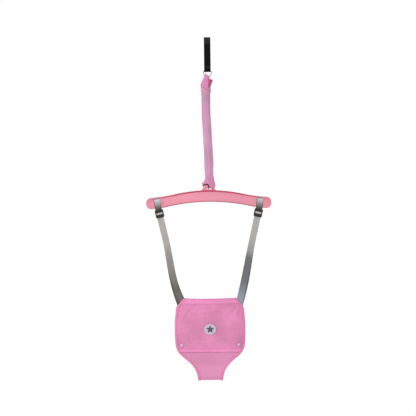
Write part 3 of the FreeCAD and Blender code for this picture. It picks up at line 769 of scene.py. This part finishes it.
def sleeve_loop():
    """Narrow tail of the sleeve, sewn round the ring's bow beside the hook."""
    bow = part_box("d_ring")[0][2] + 0.017
    lean = math.radians(26)
    down = np.array([-math.sin(lean), 0, -math.cos(lean)])
    centre = np.array([0, 0, bow]) + down * 0.015
    tail, apart = down * 0.0135, np.array([0, 0.0014, 0])
    round_r = 0.0031
    path = [centre + tail + apart]
    for angle in np.radians(np.linspace(150, -150, 15)):
        path.append(centre - down * round_r * math.cos(angle)
                    + np.array([0, round_r * math.sin(angle), 0]))
    path.append(centre + tail - apart)
    obj = sweep("sleeve_loop", smooth_path(path, 4), (math.cos(lean), 0, -math.sin(lean)),
                strap_profile(0.0066, 0.0011, 6), M["sleeve_fabric"])
    finish_piece(obj, "spring_top", "sleeve_fabric", "sleeve_hanging_tab")


def sleeve_flap():
    """Loose corner of the turned-over top that stands off to the right and shows its inner side, whose
    darker colour is painted shade.
    """
    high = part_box("spring_sleeve")[1]
    rows, columns = 20, 16
    points = []
    for i in range(rows):
        t = i / (rows - 1)
        for j in range(columns):
            s = j / (columns - 1)
            left = 0.0030 + 0.0050 * t
            right = 0.0200 - 0.0112 * t ** 1.15
            x = left + (right - left) * s
            z = high[2] - 0.0005 - 0.0052 * s * (1 - t) - 0.0350 * t
            swell = 0.0042 * math.sin(math.pi * min(1.0, s * 1.1)) * (1 - 0.4 * t)
            y = -0.0112 - swell + 0.0055 * s - 0.0032 * t
            points.append((x, y, z))
    obj = mesh_object("sleeve_flap", points, grid_faces(rows, columns), M["sleeve_lining"])
    thicken(obj, 0.0009, 0)
    finish_piece(obj, "spring_top", "sleeve_fabric")


# Seat ----
# height, half the width (mm)
SEAT_WIDTHS = [(-984.6, 101.6), (-1001, 114.6), (-1017.6, 127.3), (-1040, 130.8), (-1082.2, 134.0),
               (-1135.4, 133.4), (-1160, 131.4), (-1173.4, 128.2), (-1188.6, 120.0), (-1203.8, 105.6),
               (-1219, 86.9), (-1234.2, 70.9), (-1249.4, 59.4), (-1264.6, 52.3), (-1279.8, 48.5),
               (-1295.7, 46.3)]
OUTLINE = smooth_path([(w * MM, 0, z * MM) for z, w in SEAT_WIDTHS], 8)[::-1]


def half_width(z):
    """Half the seat's width at a height."""
    return float(np.interp(z, OUTLINE[:, 2], OUTLINE[:, 0]))


SEAT_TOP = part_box("front_panel")[1][2]
BIB_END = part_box("front_lower_hem")[0][2]
SEAT_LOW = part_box("crotch_panel")[0][2]
BIB_LOW = BIB_END + 0.0012    # bottom edge of the front panel's cloth
SEAT_DEPTH = 0.0205           # half of it, in the middle
SEAM_X = 0.1352               # where the two panels would meet
CLOTH_COLUMNS = 190
CLOTH_T = 0.0016
SEAM_LIFT = 0.0012            # how far a seam or a patch lies outside the cloth

# soft folds: x and z of the middle, direction in radians, half length, height
FOLDS = [(0.082, -1.030, 2.45, 0.030, 0.0016), (0.100, -1.040, 2.1, 0.022, 0.0013),
         (0.070, -1.010, 2.7, 0.026, 0.0012), (-0.080, -1.022, 0.75, 0.030, 0.0013),
         (-0.098, -1.045, 1.05, 0.024, 0.0011), (-0.108, -1.095, 0.35, 0.020, 0.0012),
         (-0.105, -1.112, 0.15, 0.018, 0.0010), (0.035, -1.140, 0.20, 0.050, 0.0012),
         (-0.030, -1.152, -0.15, 0.045, 0.0010), (0.110, -1.120, 2.9, 0.022, 0.0010),
         (0.000, -1.035, 0.05, 0.060, 0.0009)]
FOLD_GAIN = 1.7


def depth_at(x, z, side):
    """Half the seat's depth at a point of the front (side -1) or back (side 1) panel."""
    round_off = max(0.0, 1 - (abs(x) / SEAM_X) ** 5) ** 0.5
    sag = 1.0 - 0.16 * math.exp(-((z - SEAT_TOP) / 0.03) ** 2) * (1 - (x / 0.1) ** 2)
    ripple = 0.0026 * wobble(x * 9, z * 9, side, 1.0, 1.7)
    ripple += 0.0011 * wobble(x * 26, z * 22, side, 1.0, 6.3)
    for px, pz, slope, length, size in FOLDS:
        along = (x - px) * math.cos(slope) + (z - pz) * math.sin(slope)
        off = -(x - px) * math.sin(slope) + (z - pz) * math.cos(slope) + 0.05 * along * along / length
        ripple += FOLD_GAIN * size * math.exp(-(along / length) ** 2 - (off / 0.0045) ** 2)
    pull_x, pull_z = abs(x) - 0.112, z - (SEAT_TOP - 0.02)
    reach = math.hypot(pull_x, pull_z)
    angle = math.atan2(pull_z, pull_x)
    # creases that fan out below each strap, and small gathers along the top hem
    ray = 0.0011 * math.sin(9 * angle + 0.5 + side) * math.exp(-((reach - 0.035) / 0.028) ** 2)
    gathers = 0.0007 * math.sin(x * 520 + 2 * math.sin(x * 70)) * math.exp((z - SEAT_TOP) / 0.016)
    return max(0.0022, SEAT_DEPTH * round_off * sag + (ripple + ray + gathers) * round_off)


def top_edge(x):
    """Height of the panels' top edge, which dips a little between the straps."""
    return SEAT_TOP - 0.0028 * max(0.0, 1 - (x / 0.1016) ** 2)


def panel_point(u, v, bottom):
    """u from -1 to 1 across, v from 0 at the bottom edge to 1 at the top."""
    z = bottom + (SEAT_TOP - bottom) * v
    x = u * half_width(z)
    z -= (SEAT_TOP - top_edge(x)) * v ** 6
    return x, z


def surface_grid(name, side, bottom, u_range, v_range, rows, lift, material):
    """Part of a panel's surface, lifted off it; side is -1 at the front and 1 at the back."""
    columns = CLOTH_COLUMNS
    points = []
    for i in range(rows):
        v = v_range[0] + (v_range[1] - v_range[0]) * i / (rows - 1)
        for j in range(columns):
            u = u_range[0] + (u_range[1] - u_range[0]) * j / (columns - 1)
            x, z = panel_point(u, v, bottom)
            points.append((x, side * (depth_at(x, z, side) + lift), z))
    faces = grid_faces(rows, columns)
    if side > 0:
        faces = [f[::-1] for f in faces]
    return mesh_object(name, points, faces, material)


def panels():
    """Front and back panels with their top hems."""
    for name, side, low in (("front", -1, BIB_LOW), ("back", 1, BIB_END + 0.008)):
        panel = surface_grid(name + "_panel_cloth", side, low, (-1, 1), (0, 0.985), 150, 0.0,
                             M["seat_fabric"])
        thicken(panel, CLOTH_T, -1)
        finish_piece(panel, "seat", "seat_fabric", name + "_panel")
        tall = SEAT_TOP - low
        share = 0.0185 / tall
        hem = surface_grid(name + "_hem_cloth", side, low, (-0.995, 0.995), (1 - share, 1.0), 16,
                           0.0011, M["hem_fabric"])
        thicken(hem, 0.0035, -1)
        finish_piece(hem, "seat", "hem_fabric", name + "_top_hem")
        seam = []
        for x in np.linspace(-0.104, 0.104, 120):
            z = top_edge(x) - 0.0172
            seam.append((x, side * (depth_at(x, z, side) + SEAM_LIFT), z))
        row = sewn(name + "_hem_stitch", seam, (0, side, 0), "pink_thread", "seat", "hem_fabric")


def lower_hem():
    """Hem along the bib's lower edge, over the crotch panel."""
    tall = SEAT_TOP - BIB_LOW
    hem = surface_grid("bib_lower_hem", -1, BIB_LOW, (-0.985, 0.985), (0.0, 0.0105 / tall), 8, 0.0010,
                       M["hem_fabric"])
    thicken(hem, 0.0030, -1)
    finish_piece(hem, "seat", "hem_fabric", "front_lower_hem")
    z = BIB_LOW + 0.0092
    seam = [(x, -depth_at(x, z, -1) - SEAM_LIFT, z) for x in np.linspace(-0.118, 0.118, 120)]
    sewn("bib_lower_stitch", seam, (0, -1, 0), "pink_thread", "seat", "hem_fabric")


def crotch_route():
    """(y, z) down the front, round the fold and up the back, with the fold's height and radius."""
    top = BIB_END + 0.006
    r = SEAT_DEPTH - 0.0008
    fold = SEAT_LOW + 0.0006 + r
    front = [(-r, z) for z in np.linspace(top, fold, 60)]
    turn = [(-r * math.cos(a), fold - r * math.sin(a)) for a in np.linspace(0, math.pi, 25)[1:-1]]
    back = [(r, z) for z in np.linspace(fold, top + 0.004, 60)]
    return front + turn + back, fold, r


def crotch_point(u, y, z, fold, r):
    """u from -1 to 1 across, at a point (y, z) of the route, which meets the panels above the fold."""
    x = u * half_width(z)
    side = -1 if y < 0 else 1
    if z >= fold:
        fade = min(1.0, (z - fold) / 0.03)
        y = side * (r + (depth_at(x, z, side) - 0.0022 - r) * fade)
    y += 0.0007 * wobble(x * 30, z * 22, side, 1.0, 2.2)
    return x, y, z


def crotch():
    """Panel folded between the legs, with rows of stitches in front and taped leg openings."""
    route, fold, r = crotch_route()
    columns = 90
    points = [crotch_point(-1 + 2 * j / (columns - 1), y, z, fold, r)
              for y, z in route for j in range(columns)]
    faces = [f[::-1] for f in grid_faces(len(route), columns)]
    panel = mesh_object("crotch_cloth", points, faces, M["crotch_fabric"])
    thicken(panel, CLOTH_T, -1)
    finish_piece(panel, "seat", "crotch_fabric", "crotch_panel")
    made = []
    for k in range(7):
        z = BIB_END - 0.006 - 0.0062 * k
        reach = half_width(z) - 0.010
        row_x = np.linspace(-reach, reach, 80)
        seam = np.array([crotch_point(x / half_width(z), -r, z, fold, r) for x in row_x])
        seam[:, 1] -= 0.0002
        made.append(sewn(f"crotch_row_{k}", seam, (0, -1, 0), "crotch_thread", "seat", "crotch_fabric"))
    for name, s in SIDES.items():
        out_u, in_step = 0.992, 0.006
        edge = np.array([crotch_point(s * out_u, y, z, fold, r) for y, z in route])
        inside = np.array([crotch_point(s * (out_u - in_step / half_width(z)), y, z, fold, r)
                           for y, z in route])
        made += tape(name + "_leg_tape", edge, inside, [name + "_leg_binding"], s)


def tape(name, edge, inside, nodes, s):
    """Bias tape folded over an edge, with a row of stitches near its inner side.

    It faces forward along a front edge and at the start of a leg's edge, and back along a back edge."""
    inward = unit(inside - edge)
    along = tangents(edge)
    outward = unit(np.cross(along, inward)) * s
    if np.mean(outward[:len(edge) // 3, 1]) * edge[0, 1] < 0:
        outward = -outward
    thick, width = 0.0016, 0.0085
    profile = [(-0.0010, 0), (-0.0006, thick * 0.8), (0.0010, thick * 1.1), (width * 0.6, thick * 1.15),
               (width - 0.0006, thick), (width, thick * 0.4), (width, -thick * 0.6),
               (width * 0.6, -thick), (0.0010, -thick * 1.0), (-0.0006, -thick * 0.7)]
    if np.mean(np.sum(np.cross(inward, outward) * along, axis=1)) > 0:
        profile = profile[::-1]
    obj = sweep(name, edge, inward, profile, M["binding_fabric"], out=outward)
    finish_piece(obj, "seat", "binding_fabric", *nodes)
    line = edge + inward * (width - 0.0018) + outward * thick * 1.05
    return [obj, sewn(name + "_stitch", line, outward, "pink_thread", "seat", "binding_fabric")]


def side_tapes():
    """Tapes down both sides of the front and back panels."""
    tape_edge, tape_inside = 0.0012, 0.008
    for name, s in SIDES.items():
        for face, side in (("front", -1), ("back", 1)):
            edge, inside = [], []
            for z in np.linspace(SEAT_TOP - 0.004, BIB_LOW, 120):
                w = half_width(z)
                for store, x in ((edge, s * (w - tape_edge)), (inside, s * (w - tape_inside))):
                    store.append((x, side * depth_at(x, z, side), z))
            nodes = [name + "_side_binding"] if face == "front" else []
            tape(f"{name}_{face}_side_tape", np.array(edge), np.array(inside), nodes, s)


def star(radius, inner):
    """Corners of a five-pointed star with one point up."""
    out = []
    for k in range(10):
        a = math.pi / 2 + math.pi * k / 5
        r = radius if k % 2 == 0 else inner
        out.append((r * math.cos(a), r * math.sin(a)))
    return out


def badge():
    """Oval patch with a sewn rim and a plain star."""
    low, high = (np.array(c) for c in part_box("badge_patch"))
    centre = (low + high) / 2
    half_x, half_z = (high[0] - low[0]) / 2, (high[2] - low[2]) / 2
    cloth_share, rim_share = 0.96, 0.95
    star_loops, loop_step = 6, 0.165

    def face_y(x, z):
        return -depth_at(x, z, -1)
    rings, spokes = 12, 72
    points = [(0, face_y(0, centre[2]) - SEAM_LIFT, centre[2])]
    for i in range(1, rings + 1):
        for j in range(spokes):
            a, f = 2 * math.pi * j / spokes, i / rings
            x = half_x * cloth_share * f * math.cos(a)
            z = centre[2] + half_z * cloth_share * f * math.sin(a)
            points.append((x, face_y(x, z) - SEAM_LIFT, z))
    faces = [(0, 1 + j, 1 + (j + 1) % spokes) for j in range(spokes)]
    for i in range(rings - 1):
        for j in range(spokes):
            k = (j + 1) % spokes
            base = 1 + i * spokes
            faces.append((base + j, base + spokes + j, base + spokes + k, base + k))
    patch = mesh_object("badge_cloth", points, [f[::-1] for f in faces], M["badge_fabric"])
    thicken(patch, 0.0010, -1)
    finish_piece(patch, "seat", "badge_fabric", "badge_patch")
    rim = []
    for a in np.linspace(0, 2 * math.pi, 121):
        x, z = half_x * math.cos(a) * rim_share, centre[2] + half_z * math.sin(a) * rim_share
        rim.append((x, face_y(x, z) - 0.0010, z))
    border = sewn("badge_rim", rim, (0, -1, 0), "badge_fabric", "seat", "badge_fabric",
                  0.0016, 0.0001, 0.0008)
    corners = star(0.0152, 0.0068)
    outline = [(x, face_y(x, centre[2] + z) - 0.0016, centre[2] + z) for x, z in corners + corners[:1]]
    for k in range(star_loops):
        f = 1 - loop_step * k
        loop = [(p[0] * f, p[1], centre[2] + (p[2] - centre[2]) * f) for p in outline]
        sewn(f"badge_star_{k}", resample(loop, 0.0006), (0, -1, 0), "badge_thread", "seat",
             "badge_fabric", 0.0020, 0.0002, 0.0007)


# Grey webbing ----
def side_webbing(side):
    """One strap: front corner of the seat, over the bar, back corner of the seat."""
    s = SIDES[side]
    loop_low, loop_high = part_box(side + "_bar_loop")
    neck_lean, strand_lean = math.radians(7.0), math.radians(12.7)
    web_t, web_w = 0.0015, 0.025
    flex = np.array([s * 0.1916, 0, loop_low[2] + 0.0031])  # where the strap bends under the bar
    neck_top = loop_high[2] - 0.0016 - web_t / 2
    radius = -(loop_low[1] + 0.0003 + web_t / 2)

    def centre_x(z):
        lean_here = neck_lean if z >= flex[2] else strand_lean
        return flex[0] + s * (z - flex[2]) * math.tan(lean_here)
    below = flex[2] - 0.004
    split = flex[2] - 0.15       # the front and back layers part here
    travel = flex[2] - 0.128     # they hang straight as far down as the slider goes
    corner = SEAT_TOP - 0.030
    twisted = side == "left"
    profile = strap_profile(web_w, web_t)
    path, lean = [], []
    half = web_t / 2 + 0.0001

    def point(y, z, shift=0.0, tilt=0.0):
        path.append((centre_x(z) + shift, y, z))
        lean.append(tilt)

    def strand_point(face, z):
        """Face -1 is the front layer and 1 the back one. Both end inside the seat."""
        t = max(0.0, (split - z) / (split - corner))
        sway = math.sin(math.pi * max(0.0, (travel - z) / (travel - corner)) ** 1.4)
        if face < 0:
            shift = -0.0050 * sway + 0.0150 * t ** 4 if twisted else 0.0016 * sway
        else:
            bow, drift = (0.0080, 0.0015) if twisted else (0.0060, 0.0045)
            shift = s * (bow * sway + drift * t * t)
        x = centre_x(z) + shift
        end = depth_at(min(abs(x), 0.118) * s, corner + 0.010, face) - 0.0034
        tilt = 0.7 * math.sin(math.pi * t) ** 2 * t if twisted and face < 0 else 0.0
        point(face * (half + (end - half) * t ** 1.4), z, shift, tilt)
    bottom = loop_low[2] + 0.011
    strand = [*np.linspace(corner, split, 12), *np.linspace(split, below, 8)[1:]]
    neck = np.linspace(bottom + 0.004, neck_top - radius, 6)
    for z in strand:
        strand_point(-1, z)
    point(-radius * 0.72, bottom - 0.0012)
    for z in neck:
        point(-radius, z)
    for a in np.radians((60, 90, 120)):
        point(-radius * math.cos(a), neck_top - radius + radius * math.sin(a))
    for z in neck[::-1]:
        point(radius, z)
    point(radius * 0.72, bottom - 0.0012)
    for z in strand[::-1]:
        strand_point(1, z)
    dense = smooth_path(path, 6)
    tilt = np.interp(np.linspace(0, len(path) - 1, len(dense)), np.arange(len(path)), lean)
    z = dense[:, 2]
    blend = np.clip((flex[2] + 0.004 - z) / 0.012, 0, 1)
    angle = neck_lean + (strand_lean - neck_lean) * blend
    across = np.stack([np.cos(angle) * np.cos(tilt), s * np.sin(tilt), -s * np.sin(angle)], axis=1)
    obj = sweep(side + "_webbing", dense, across, profile, M[side + "_webbing"])
    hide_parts(side + "_bar_loop", side + "_front_webbing", side + "_back_webbing")
    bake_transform(obj)


# Everything ----
stage()
carried_over()
door_strap()
coil()
safety_band()
sleeve_loop()
sleeve_collar()
sleeve_flap()
sleeve_tube()
for side_name in SIDES:
    side_webbing(side_name)
panels()
lower_hem()
crotch()
side_tapes()
badge()
